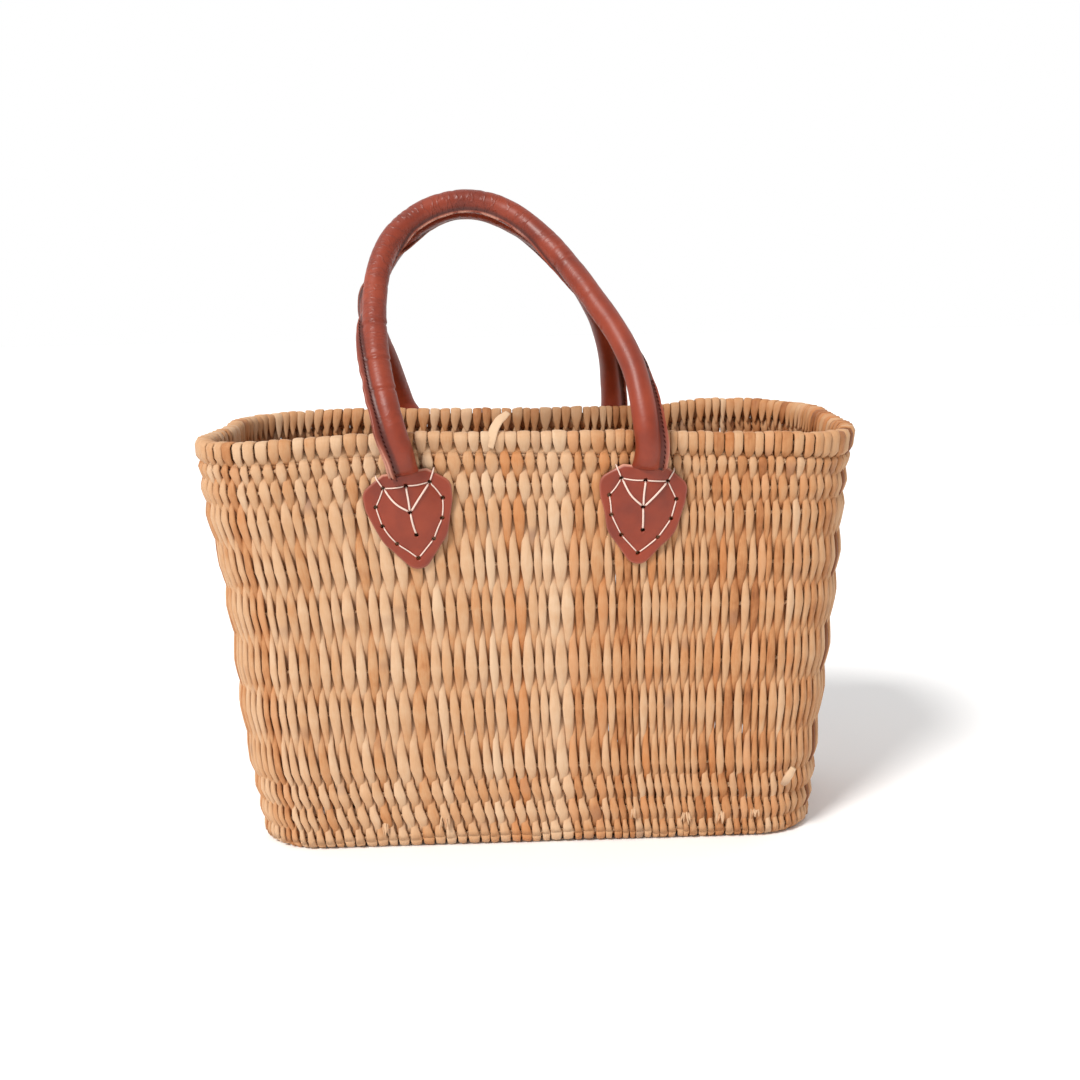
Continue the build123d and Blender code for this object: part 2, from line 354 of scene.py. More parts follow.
def leather_material():
    s = Shader("red_brown_leather")
    raw, groove_shade, crease = s.attributes("raw", "groove_shade", "crease")
    along, ring_x, ring_y = s.attributes("along", "ring_x", "ring_y")
    where = s.nodes.new("ShaderNodeTexCoord").outputs["Object"]
    cloud = s.noise(where, 38.0, 3, 0.55)
    colour = s.ramp(cloud, ((0.3, (112, 36, 14)), (0.52, (132, 46, 19)), (0.75, (146, 56, 27))))
    # fine folds run round the tube: long across it, short along it
    fold = s.noise(s.combine(s.times(along, 0.22), ring_x, ring_y), 1.0, 2)
    fold = s.times(s.maths("ABSOLUTE", s.less(fold, 0.5)), 14.0, clamp=True)
    valley = s.times(s.less(1.0, fold), s.times(crease, 0.55))
    # painted shade: fold valleys are tinted darker
    colour = s.tint(colour, s.times(valley, 0.45), (78, 25, 12))
    # painted shade: the seam's groove and the line where a handle meets its patch are tinted nearly black
    colour = s.tint(colour, groove_shade, (44, 13, 10))
    colour = s.tint(colour, raw, (206, 150, 128))
    grain = s.noise(where, 900.0, 2)
    s.bump(s.less(s.times(grain, 0.10), valley), 0.6, 0.0006)
    return s.finish(colour, s.add(0.34, s.times(cloud, 0.22)), 0.5)


def plain_material(name, rgb, rough, spec=0.3):
    return Shader(name).finish(linear(*rgb), rough, spec)


REED, PITH, CORD_MAT, LEATHER = reed_material(), pith_material(), cord_material(), leather_material()
WHITE_THREAD = plain_material("white_thread", (226, 200, 186), 0.75)
DARK_THREAD = plain_material("dark_thread", (58, 18, 14), 0.9, 0.1)


# ------------ the wall's middle surface
TOP = box_mm("rim_folded_reeds")[1][2]
low_ring, high_ring = box_mm("weft_cord_01"), box_mm("weft_cord_11")
CORD_R = (low_ring[1][2] - low_ring[0][2]) / 2
RIM_ROW_DROP = 5.0  # the rim cord's row lies this far under the top
ROW_Z = [TOP - RIM_ROW_DROP] + [box_mm(f"weft_cord_{i:02d}")[0][2] + CORD_R for i in range(11, 0, -1)]
BASE_ROW_Y = [box_mm(f"base_cord_{i:02d}")[0][1] + CORD_R for i in (1, 2, 3)]
OUT = 2.5  # from the middle surface to the middle of a reed that passes in front of a cord
BEND_Z, BEND_R, FLOOR_Z = 7.4, 4.8, 2.6  # where a reed turns under, how tightly, and the base mat's middle
BEND_END = BEND_Z - BEND_R * math.pi / 2  # path coordinate where the turn ends
CORNER_R, CORNER_R_GROWTH = 34.8, 12  # at the floor, and how much it grows up to the rim


def half_sizes(z):
    """Half length, half depth and corner radius of the middle surface at height z."""
    z0, z1 = low_ring[0][2] + CORD_R, high_ring[0][2] + CORD_R
    t = (z - z0) / (z1 - z0)
    a = (low_ring[1][0] + (high_ring[1][0] - low_ring[1][0]) * t) - CORD_R
    b = (low_ring[1][1] + (high_ring[1][1] - low_ring[1][1]) * t) - CORD_R
    return a, b, CORNER_R + CORNER_R_GROWTH * z / TOP


N_LONG, N_CORNER, N_SHORT = 90, 24, 23  # upright reeds, or stakes, on each wall and corner
COLOUR_CHANGE = 24.0  # x of the change in the long walls: reeds are wider to its left, and paler in front


def spread(count, weights):
    """Centres in -1..1 of reeds whose widths follow weights."""
    edges = np.concatenate([[0], np.cumsum(weights)])
    return (edges[:-1] + edges[1:]) / edges[-1] - 1


guess = np.linspace(-1, 1, N_LONG) * 130
long_weights = np.where(guess < COLOUR_CHANGE, 1.12, 0.86) * rng.uniform(0.64, 1.38, N_LONG)
long_f = spread(N_LONG, long_weights)
short_f = spread(N_SHORT, rng.uniform(0.8, 1.2, N_SHORT))
turn = (spread(N_CORNER, rng.uniform(0.85, 1.15, N_CORNER)) + 1) * 45
# in order round the basket: place on the straight parts from -1 to 1, the way it faces, and its wall
stakes = [(f, -1, -90, "front") for f in long_f]
stakes += [(1, -1, -90 + a, "right") for a in turn]
stakes += [(1, f, 0, "right") for f in short_f]
stakes += [(1, 1, a, "right") for a in turn]
stakes += [(f, 1, 90, "back") for f in long_f[::-1]]
stakes += [(-1, 1, 90 + a, "left") for a in turn]
stakes += [(-1, f, 180, "left") for f in short_f[::-1]]
stakes += [(-1, -1, 180 + a, "left") for a in turn]
SX, SY, facing, SIDE = zip(*stakes)
SX, SY, PHI = np.array(SX, float), np.array(SY, float), np.radians(np.array(facing, float))
N = len(SX)
NORMAL = np.stack([np.cos(PHI), np.sin(PHI), np.zeros(N)], 1)
SIDEWAYS = np.stack([-np.sin(PHI), np.cos(PHI), np.zeros(N)], 1)
UP = np.array([0.0, 0.0, 1.0])


# heights and how far each end stands out there
BULGE_LEFT = (0, 25, 60, 90, 120, 165, 190, 215, 235, 245), (1.0, 2.0, 3.6, 2.8, 0.8, 1.2, 4.6, 5.4, 4.4, 2.2)
BULGE_RIGHT = (0, 25, 60, 110, 160, 200, 245), (3.4, 3.6, 3.0, 2.4, 1.5, -0.3, -0.8)
LEAN_LEFT, LEAN_RIGHT = 10.5, 6.0  # how far the ends lean in at the back of the rim


def plan(z):
    """The middle surface at height z under every stake: (N, 3). The ends bulge and lean in at the back."""
    a, b, r = half_sizes(z)
    x, y = SX * (a - r) + r * np.cos(PHI), SY * (b - r) + r * np.sin(PHI)
    share = np.abs(x) / a
    high = min(1.0, max(0.0, (z - 110) / 130)) ** 1.5
    left = -share * (np.interp(z, *BULGE_LEFT) - LEAN_LEFT * high * np.clip((y + 70) / 65, 0, 1))
    right = share * (np.interp(z, *BULGE_RIGHT) - LEAN_RIGHT * high * np.clip((y + 70) / 120, 0, 1))
    return np.stack([x + np.where(x < 0, left, right), y, np.full(N, z)], 1)


# rows are not quite level, and no two reeds cross a cord in quite the same place
ring_angle = np.arange(N) * 2 * math.pi / N


def waves(scale, terms=(1, 2, 3, 5, 9)):
    total = np.zeros(N)
    for k in terms:
        total += rng.normal(0, 1) * np.sin(k * ring_angle + rng.uniform(0, 6.3)) / math.sqrt(k)
    return total * scale


ROW_WAVE = np.array([waves(0.45) for _ in ROW_Z])
ROW_JITTER = rng.normal(0, 0.45, (len(ROW_Z), N))
SIDE_JITTER = rng.normal(0, 0.22, (len(ROW_Z), N))
RIM_WAVE = waves(0.4) + rng.normal(0, 0.28, N)
# how far the rim and the rows near it hang lower: at the ends, along the back and at the front right
rim_x, rim_depth = plan(TOP)[:, 0], plan(TOP)[:, 1]
DROOP = 3.6 * np.clip((-rim_x - 100) / 60, 0, 1) * np.interp(rim_depth, (-60, 80), (1.0, 0.45))
DROOP += 2.0 * np.clip((rim_x - 140) / 40, 0, 1)
back_droop = np.interp(rim_x, (-125, -20, 60, 90, 118), (0, 2.8, 4.2, 3.8, 0))
DROOP += back_droop * (SY > 0) * (np.abs(rim_x) < 140)
front_droop = np.interp(rim_x, (-90, -50, 0, 50, 90, 130, 190), (0, -0.8, 0.3, 1.5, 3.6, 4.8, 5.2))
DROOP += front_droop * np.interp(rim_depth, (-70, 30), (1.0, 0.0))
RIM_WAVE -= DROOP
# the lowest rows hang a little at the ends
SAG = np.interp(ROW_Z, (5, 20, 35, 50, 90), (2.2, 2.2, 1.7, 1.1, 0.0))[:, None] * (np.abs(SX) ** 3)[None, :]
ROW_AT = np.array(ROW_Z)[:, None] - SAG + ROW_WAVE * np.array([0.4] + [1.0] * 10 + [0.5])[:, None]
ROW_AT -= np.interp(ROW_Z, (130, 200, 240), (0.0, 0.85, 1.0))[:, None] * DROOP[None, :]
TONE = rng.normal(0, 0.15, N)
SIDE_TONE = {"left": 0.60, "right": 0.44, "back": 0.50}
for i in range(N):
    if SIDE[i] == "front":
        TONE[i] += 0.70 if SX[i] * 150 < COLOUR_CHANGE * 1.15 else 0.50
    else:
        TONE[i] += SIDE_TONE[SIDE[i]]
REED_ID = rng.uniform(0, 1, N)
ROLL = rng.normal(0, 0.07, N)


def sign_at(stake, row):
    """+1 where the reed passes outside the cord."""
    return 1 if (stake + row) % 2 == 0 else -1


# reed cross-section: x is -1..1 across, y is -1..1 through
SECTION = []
for a in np.radians([0, 22, 52, 90, 128, 158, 180, 235, 305]):
    c, s = math.cos(a), math.sin(a)
    SECTION.append((math.copysign(abs(c) ** 0.72, c), math.copysign(abs(s) ** 0.72, s)))
SECTION = np.array(SECTION)


def middle(q):
    """At path coordinate q: inward shift, height, and outward direction in the (out, up) plane."""
    if q >= BEND_Z:
        return 0.0, q, (1.0, 0.0)
    if q >= BEND_END:
        beta = (BEND_Z - q) / BEND_R
        out, up = math.cos(beta), -math.sin(beta)
        return -BEND_R * (1 - out), BEND_Z + BEND_R * up, (out, up)
    return -BEND_R - (BEND_END - q), FLOOR_Z, (0.0, -1.0)


def path_at(z):
    """Path coordinate at height z: the height itself above the turn."""
    if z >= BEND_Z:
        return z
    return BEND_Z - BEND_R * math.asin(min(0.9, (BEND_Z - z) / BEND_R))


ROW_SLANT = np.interp(ROW_Z, (5, 20, 50, 90, 180, 215, 232), (0.9, 1.0, 0.7, 0.25, 0.2, 0.35, 0.3))


def slant_at(z, row_sign_top, heights):
    """Sideways lean of a reed at height z: a lens leans from top left to bottom right."""
    rows = np.interp(-z, -np.asarray(heights), np.arange(len(heights)))
    lean = np.interp(rows, np.arange(len(ROW_SLANT)), ROW_SLANT)
    return lean * np.sin(math.pi * rows) * row_sign_top


def stations(j):
    """Where reed j goes, from its rim end down the wall and in across the base."""
    out = []  # (q, offset, outness, width share, thickness, part)
    wave = RIM_WAVE[j]
    first = sign_at(j, 0)
    if first > 0:
        lean = random.uniform(-0.5, 0.5)
        cut = random.uniform(-1.6, 1.4)
        fold = [
            (-5.2 + lean, TOP - 15.6 + cut, 0.14, 1.3),
            (-5.1 + lean / 2, TOP - 13.6 + cut / 2, 0.34, 1.6),
            (-5.0, TOP - 11.0, 0.56, 1.8),
            (-4.8, TOP - 8.0, 0.80, 1.9),
            (-4.5, TOP - 5.0, 0.95, 1.9),
            (-3.9, TOP - 2.6, 0.97, 1.9),
            (-2.7, TOP - 1.15, 0.98, 1.9),
            (0.0, TOP - 0.9, 0.98, 1.9),
            (2.8, TOP - 1.15, 0.98, 1.9),
            (3.7, TOP - 2.8, 0.97, 1.9),
        ]
        for h, z, w, th in fold:
            out.append((z + wave, h, 1.0, w, th, "rim"))
    else:
        out.append((TOP - 3.6 + wave, -1.6, -0.8, 0.6, 1.4, "rim"))
    q_rows = [ROW_AT[i][j] + (ROW_JITTER[i][j] if i else wave) for i in range(len(ROW_Z))]
    q_rows[-1] = path_at(q_rows[-1])
    signs = [sign_at(j, i) for i in range(len(ROW_Z))]
    long_side = SIDE[j] in ("front", "back")
    _, depth, corner = half_sizes(BEND_Z)
    if long_side:
        for y in BASE_ROW_Y:
            q_rows.append(BEND_END - (y + depth - BEND_R))
            signs.append(-signs[-1])
    else:
        q_rows += [BEND_END - 14.0, BEND_END - (corner - BEND_R - 7.0)]
        signs += [-0.7, -0.8]
    full = [random.uniform(0.36, 0.485) for _ in q_rows]
    if not long_side:
        full[-2:] = [0.2, 0.0]
    for i in range(len(q_rows) - 1):
        span = q_rows[i] - q_rows[i + 1]
        steps = 7 if span > 24 else 6 if span > 17 else 5
        for k in range(steps):
            f = k / steps
            straight = 1 - 2 * f
            curved = math.cos(math.pi * f)
            blend = 0.45 * straight + 0.55 * curved
            o = signs[i] * (1 + blend) / 2 + signs[i + 1] * (1 - blend) / 2
            crest = 1 - (math.hypot(1 - abs(straight), 0.12) - 0.12)
            h = o * OUT
            if i == 0 and first > 0:
                h += 0.9 * max(0.0, 1 - 2.2 * f)
            share = 0.51 + (full[i] if f < 0.5 else full[i + 1]) * crest
            thick = 2.0 + 1.9 * (1 - crest) ** 1.2
            part = "rim" if i == 0 and f < 0.55 else "wall" if i < len(ROW_Z) - 1 else "base"
            out.append((q_rows[i] + (q_rows[i + 1] - q_rows[i]) * f, h, o, share, thick, part))
    out.append((q_rows[-1], signs[-1] * OUT, signs[-1], 0.93 if long_side else 0.5, 2.0, "base"))
    return out


def neighbour_gaps(q):
    """Distance to the reed before and after, for every stake, at path coordinate q."""
    p = plan(max(q, BEND_Z))
    step = np.linalg.norm(np.roll(p, -1, 0) - p, axis=1)
    return np.roll(step, 1), step


GAP_GRID = np.linspace(BEND_Z, TOP + 2, 24)
PLAN_TABLE = [plan(q) for q in GAP_GRID]
BEFORE_TABLE, AFTER_TABLE = zip(*(neighbour_gaps(q) for q in GAP_GRID))


def between(table, t, j):
    """The value for stake j at grid place t, between two rows of a table."""
    g = min(int(t), len(table) - 2)
    return table[g][j] * (1 - t + g) + table[g + 1][j] * (t - g)


stands_for = {
    "rim": ("rim_folded_reeds", "rim_cut_ends"),
    "front": ("front_wall_reeds",),
    "back": ("back_wall_reeds",),
    "left": ("left_end_reeds",),
    "right": ("right_end_reeds",),
    "base": ("base_reeds",),
}
weave = {name: Lofts() for name in stands_for}
corner_r = half_sizes(BEND_Z)[2]
LOWEST = 0.12  # nothing woven reaches the floor itself

for j in range(N):
    route = stations(j)
    centre, left, right, thick, outness, part = [], [], [], [], [], []
    corner = SIDE[j] in ("left", "right") and abs(SX[j]) == 1 and abs(SY[j]) == 1
    for q, h, o, share, th, where in route:
        shift, z, direction = middle(q)
        t = (max(q, BEND_Z) - GAP_GRID[0]) / (GAP_GRID[-1] - GAP_GRID[0]) * (len(GAP_GRID) - 1)
        p, gap_l, gap_r = [between(table, t, j) for table in (PLAN_TABLE, BEFORE_TABLE, AFTER_TABLE)]
        n = NORMAL[j]
        p = np.array([p[0], p[1], 0.0]) + n * (shift + h * direction[0]) + UP * (z + h * direction[1])
        if corner and shift < -BEND_R:
            shrink = max(0.12, (corner_r + shift) / corner_r)
            gap_l, gap_r = gap_l * shrink, gap_r * shrink
        centre.append(p)
        left.append(gap_l * share)
        right.append(gap_r * share)
        thick.append(th)
        outness.append(o)
        part.append(where)
    centre = np.array(centre)
    # small sideways wander, the same number of knots as rows
    knots = SIDE_JITTER[:, j]
    wander = np.interp(np.linspace(0, 1, len(centre)), np.linspace(0, 1, len(knots)), knots)
    wander[-4:] = 0
    heights = np.maximum.accumulate(ROW_AT[::-1, j])[::-1]
    on_wall = (centre[:, 2] < heights[0]) * (np.array(part) != "base")
    wander += slant_at(centre[:, 2], sign_at(j, 0), heights) * on_wall
    centre += SIDEWAYS[j] * wander[:, None]
    t = tangents(centre)
    face = unit(np.cross(t, SIDEWAYS[j]))
    face[-1] = face[-2]
    left, right, thick = np.array(left), np.array(right), np.array(thick)
    along = np.concatenate([[0], np.cumsum(np.linalg.norm(np.diff(centre, axis=0), axis=1))])
    across = SECTION[:, 0]
    roll = ROLL[j] + 0.05 * np.sin(along / 11 + REED_ID[j] * 50)
    # SIDEWAYS runs anticlockwise, towards the next stake
    width = np.where(across[None, :] > 0, right[:, None], left[:, None]) * across[None, :]
    dome = 1 + 0.25 * np.abs(np.array(outness))[:, None] * (SECTION[:, 1] > 0)
    height = thick[:, None] / 2 * SECTION[:, 1][None, :] * dome
    wide = width * np.cos(roll)[:, None] - height * np.sin(roll)[:, None] * 0.6
    high = height * np.cos(roll)[:, None] + width * np.sin(roll)[:, None]
    rings = centre[:, None, :] + SIDEWAYS[j][None, None, :] * wide[:, :, None]
    rings = rings + face[:, None, :] * high[:, :, None]
    rings[:, :, 2] = np.maximum(rings[:, :, 2], LOWEST)
    attrs = {
        "tone": np.full((len(centre), 1), TONE[j]),
        "reed": np.full((len(centre), 1), REED_ID[j]),
        "along": along[:, None] + REED_ID[j] * 300,
        "across": np.broadcast_to(across[None, :], (len(centre), len(across))),
        # painted shade: deepest where a reed dives behind its neighbours, faint along its edges
        "crevice_shade": np.clip(0.12 - 0.75 * np.array(outness)[:, None] * SECTION[None, :, 1], 0, 1),
    }
    runs, start = [], 0
    for i in range(1, len(part) + 1):
        if i == len(part) or part[i] != part[start]:
            runs.append((start, min(i + 1, len(part))))
            start = i
    for a, b in runs:
        name = part[a] if part[a] != "wall" else SIDE[j]
        pith_end = 1 if part[a] == "rim" and sign_at(j, 0) > 0 else 0
        values = {k: np.broadcast_to(v, (len(centre), len(across)))[a:b] for k, v in attrs.items()}
        weave[name].add(rings[a:b], values, (pith_end, 0))

for name, lofts in weave.items():
    obj = lofts.build(f"reeds_{name}", [REED, PITH])
    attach(obj, "basket")
    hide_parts(*stands_for[name])


# ------------ twisted cords inside the wall and the base
# one full twist of a cord, a strand's radius, and how far it winds off the cord's middle
PITCH, STRAND_R, STRAND_REACH = 6.5, 0.86, 0.74


def twisted(path, closed, name):
    """Two strands wound round a path."""
    path = np.asarray(path)
    t = tangents(path, closed)
    length = np.concatenate([[0], np.cumsum(np.linalg.norm(np.diff(path, axis=0), axis=1))])
    total = length[-1] + (np.linalg.norm(path[0] - path[-1]) if closed else 0)
    turns = max(1, round(total / PITCH))
    side = unit(np.cross(t, UP))
    up = np.cross(side, t)
    lofts = Lofts()
    for k in (0, 1):
        a = 2 * math.pi * turns * length / total + math.pi * k
        strand_path = path + STRAND_REACH * (np.cos(a)[:, None] * side + np.sin(a)[:, None] * up)
        rings = round_tube(strand_path, STRAND_R, 5, closed)
        attrs = {"along": length[:, None] + 40 * k, "across": np.arange(5)[None, :] / 5}
        lofts.add(rings, attrs, closed=closed)
    return lofts.build(name, [CORD_MAT])


for i, row in enumerate(ROW_Z):
    points = []
    p_all = plan(max(row, BEND_Z))
    for j in range(N):
        shift, height, _ = middle(path_at(ROW_AT[i][j]))
        points.append(np.array([p_all[j][0], p_all[j][1], 0]) + NORMAL[j] * shift + UP * height)
    points = np.array(points)
    dense = np.empty((2 * N, 3))
    dense[::2], dense[1::2] = points, (points + np.roll(points, -1, 0)) / 2
    node = "rim_cord" if i == 0 else f"weft_cord_{12 - i:02d}"
    obj = twisted(dense, True, f"twist_{node}")
    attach(obj, "basket")
    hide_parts(node)

for i in range(1, 6):
    lo, hi = box_mm(f"base_cord_{i:02d}")
    x = np.linspace(lo[0], hi[0], 160)
    path = np.stack([x, np.full_like(x, (lo[1] + hi[1]) / 2), np.full_like(x, FLOOR_Z)], 1)
    obj = twisted(path, False, f"twist_base_cord_{i:02d}")
    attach(obj, "basket")
    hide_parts(f"base_cord_{i:02d}")


# ------------ loose ends
def wall_y(z, out=0.0):
    """Y of the front wall's outer face at height z."""
    return -(half_sizes(z)[1] + 3.6 + out)


STRIP_STEP, STRIP_BEND_R = 0.8, 2.5


def strip(lofts, path, widths, thick, looks, seed, tone):
    """A flat strip of reed along a path. looks is the direction its broad side faces."""
    bent = filleted(path, [STRIP_BEND_R] * (len(path) - 2), False, 4)
    path = smoothed(resample(bent, STRIP_STEP), 3)
    t = tangents(path)
    looks = np.asarray(looks, float)
    f = unit(looks - t * (t @ looks)[:, None])
    side = np.cross(t, f)
    w = np.interp(np.linspace(0, 1, len(path)), np.linspace(0, 1, len(widths)), widths)
    across, through = SECTION[:, 0], SECTION[:, 1]
    rings = path[:, None] + side[:, None] * (across * w[:, None] / 2)[:, :, None]
    rings = rings + f[:, None] * through[None, :, None] * thick / 2
    attrs = {
        "tone": np.full((len(path), 1), tone),
        "reed": np.full((len(path), 1), seed),
        "along": (np.arange(len(path)) * STRIP_STEP + seed * 300)[:, None],
        "across": across[None, :],
        "crevice_shade": np.zeros((len(path), 1)),
    }
    lofts.add(rings, attrs, (1, 1))


loose = Lofts()
rim_y = wall_y(TOP) + 1.0
over_rim = [
    (-22.5, rim_y - 0.2, TOP - 9),
    (-22, rim_y - 1.5, TOP - 4),
    (-20.5, rim_y - 0.8, TOP + 1.5),
    (-17.5, rim_y + 2, TOP + 6),
    (-12.5, rim_y + 6, TOP + 9.5),
]
strip(loose, over_rim, (3.6, 5.6, 5.8, 5.6, 5.2, 3.4), 1.5, (-0.5, -1, 0.3), 0.31, 1.9)
stub = [
    (143.6, wall_y(34, -1), 33),
    (144.4, wall_y(35, 1.6), 35.5),
    (146.6, wall_y(40, 2.4), 40),
    (148.4, wall_y(44, 3.4), 44.2),
]
strip(loose, stub, (3.4, 4.8, 4.6, 3.6), 2.6, (0, -1, 0.1), 0.72, 1.1)
# small tufts of frayed fibre near the bottom: x, z and seed
TUFTS = (
    (54.6, 18.5, 0.11), (86.3, 14.5, 0.23), (107.4, 13.5, 0.47),
    (126.8, 16, 0.64), (-54.2, 15.5, 0.83), (-88, 12.5, 0.53),
)
for x, z, seed in TUFTS:
    for k in range(5):
        a = random.uniform(-0.5, 0.5)
        high = random.uniform(4, 9)
        x0 = x + random.uniform(-2.4, 2.4)
        fibre = [
            (x0, wall_y(z, -0.8), z + high / 2),
            (x0 + a * 2, wall_y(z, random.uniform(0.6, 1.3)), z),
            (x0 + a * 4, wall_y(z, random.uniform(0.2, 1.8)), z - high / 2),
        ]
        widths = (1.0, random.uniform(0.9, 1.6), 0.4)
        strip(loose, fibre, widths, 0.35, (random.uniform(-0.5, 0.5), -1, 0), seed + k * 0.013, 0.8)
obj = loose.build("reed_loose_ends", [REED, PITH])
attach(obj, "basket")


# ------------ leather patches
PATCH_TURN = {"front_left": 7.0, "front_right": -5.0, "back_left": 4.0, "back_right": -4.0}
PATCH_SHIFT = {"front_left": -3.2, "front_right": 0.6, "back_left": 0.0, "back_right": 0.0}
PATCH_THICK, HOLE_R = 2.0, 1.25
THREAD_R, DOUBLE_THREAD_R, LOOSE_THREAD_R = 0.38, 0.55, 0.42
DIP, DIP_LENGTH = 1.9, 0.8  # how deep a thread goes into its hole, and over what length
# a patch seen from outside, from the middle of its top edge: right, up and corner radius
CORNERS = [(12.4, 0.0, 1.5), (24.8, -8.5, 7.0), (24.2, -19.0, 14.0), (18.0, -38.0, 20.0), (0.0, -60.5, 8.0)]
CORNERS += [(-u, v, r) for u, v, r in CORNERS[3::-1]]
HOLES = {
    "top_left": (-12.8, -7.5),
    "top": (0.0, -6.8),
    "top_right": (12.8, -7.5),
    "right_1": (18.6, -17.5),
    "right_2": (16.6, -28.5),
    "right_3": (10.2, -39.5),
    "bottom": (0.0, -49.5),
    "left_3": (-10.2, -39.5),
    "left_2": (-16.6, -28.5),
    "left_1": (-18.6, -17.5),
    "middle": (0.0, -22.0),
    "tail": (1.2, -35.5),
}
EDGE_HOLES = list(HOLES)[:10]
STITCHES = list(zip(EDGE_HOLES, EDGE_HOLES[1:] + EDGE_HOLES[:1]))
STITCHES += [("top_left", "middle"), ("top", "middle"), ("top_right", "middle"), ("middle", "tail")]


def hinge_of(which):
    """The point that the joint of a handle gives for its hinge, in millimetres."""
    joint = next(j for j in frame["joints"] if j["name"] == f"{which}_handle_swing")
    return np.array(joint["pos_m"]) / MM


def patch_frame(name):
    """The middle of a patch's top edge on the wall's outer face, and its right, up and out directions."""
    lo, hi = box_mm(f"handle_tongue_{name}")
    which = name.split("_")[0]
    side = -1.0 if which == "front" else 1.0
    slope = (high_ring[1][1] - low_ring[1][1]) / (high_ring[1][2] - low_ring[1][2])
    out = unit(np.array([0, side, -slope]))
    right = np.array([-side, 0, 0])
    up = np.cross(out, right)
    hinge = hinge_of(which)
    x = (lo[0] + hi[0]) / 2
    a = math.radians(PATCH_TURN[name])
    right_t = right * math.cos(a) + up * math.sin(a)
    up_t = up * math.cos(a) - right * math.sin(a)
    middle_of_tongue = np.array([x, hinge[1], hinge[2]]) - out * 10.0 - up * 4.0
    # the tongue's box is centred 12 mm down the turned axis
    origin = middle_of_tongue - right * ((up_t @ right) * -12.0)
    return origin + right * PATCH_SHIFT[name], right_t, up_t, out


OUTLINE = resample(filleted([c[:2] for c in CORNERS], [c[2] for c in CORNERS], True), 1.15, True)
LOOP = np.array([HOLES[k] for k in EDGE_HOLES])


def line_distance(u, v, points):
    """Distance from (u, v) to a closed line."""
    best = 1e9
    n = len(points)
    for i in range(n):
        a, b = points[i], points[(i + 1) % n]
        d = b - a
        s = min(1, max(0, ((u - a[0]) * d[0] + (v - a[1]) * d[1]) / (d @ d)))
        best = min(best, math.hypot(u - a[0] - s * d[0], v - a[1] - s * d[1]))
    return best


def patch_height(u, v):
    """How far the patch's under side stands off the wall's outer face."""
    down = -v
    tube = 6.2 * max(0.0, 1 - down / 44) ** 0.8
    half = 9.5 + 0.18 * down
    hump = tube * math.exp(-((abs(u) / half) ** 3.2))
    belly = 1.6 * math.exp(-((u / 15) ** 2) - ((down - 24) / 17) ** 2)
    groove = -0.5 * math.exp(-((line_distance(u, v, LOOP) / 1.5) ** 2))
    return 0.9 + hump + belly + groove


def in_patch(fr, u, v, h):
    origin, right, up, out = fr
    return origin + right * u + up * v + out * h


